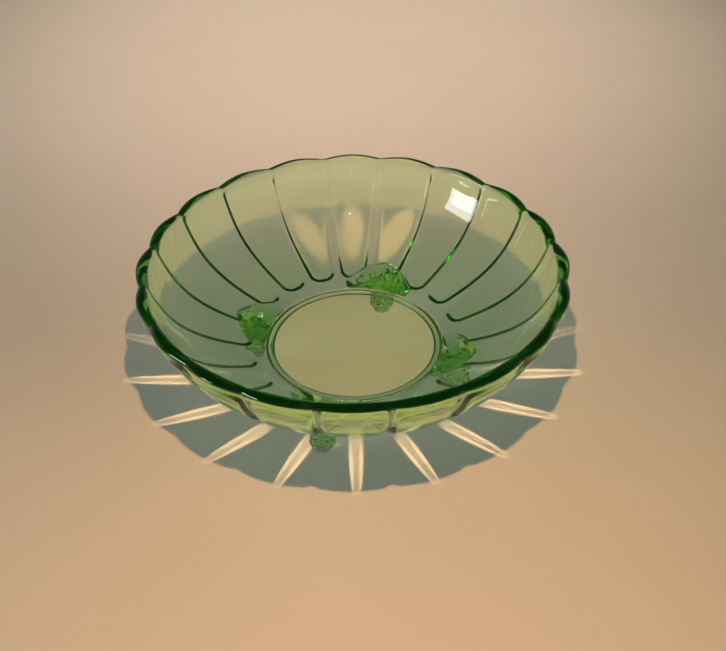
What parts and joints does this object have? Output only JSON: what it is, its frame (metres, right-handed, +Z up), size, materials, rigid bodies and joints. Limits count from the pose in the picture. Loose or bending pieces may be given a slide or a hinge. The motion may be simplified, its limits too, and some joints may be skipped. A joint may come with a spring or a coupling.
{
  "type": "footed glass bowl",
  "caption": "Round pressed green glass bowl with convex flutes, a thick scalloped rim, a flat ringed base and short tapering feet.",
  "frame": {"origin": "on the surface that the bowl stands on, under the middle of the bowl", "axes": "+Z up out of the bowl; +X and +Y each pass over a foot and the middle of a flute"},
  "size_m": [0.204, 0.204, 0.072],
  "materials": {
    "bowl_glass": "pressed and fire-polished, clear green",
    "foot_glass": "pressed, clear green, pads slightly worn"
  },
  "bodies": {
    "root": {"fluted_wall": "bowl_glass", "scalloped_rim": "bowl_glass", "base_disc": "bowl_glass", "base_ring": "bowl_glass", "foot_right": "foot_glass", "foot_back": "foot_glass", "foot_left": "foot_glass", "foot_front": "foot_glass"}
  },
  "joints": []
}
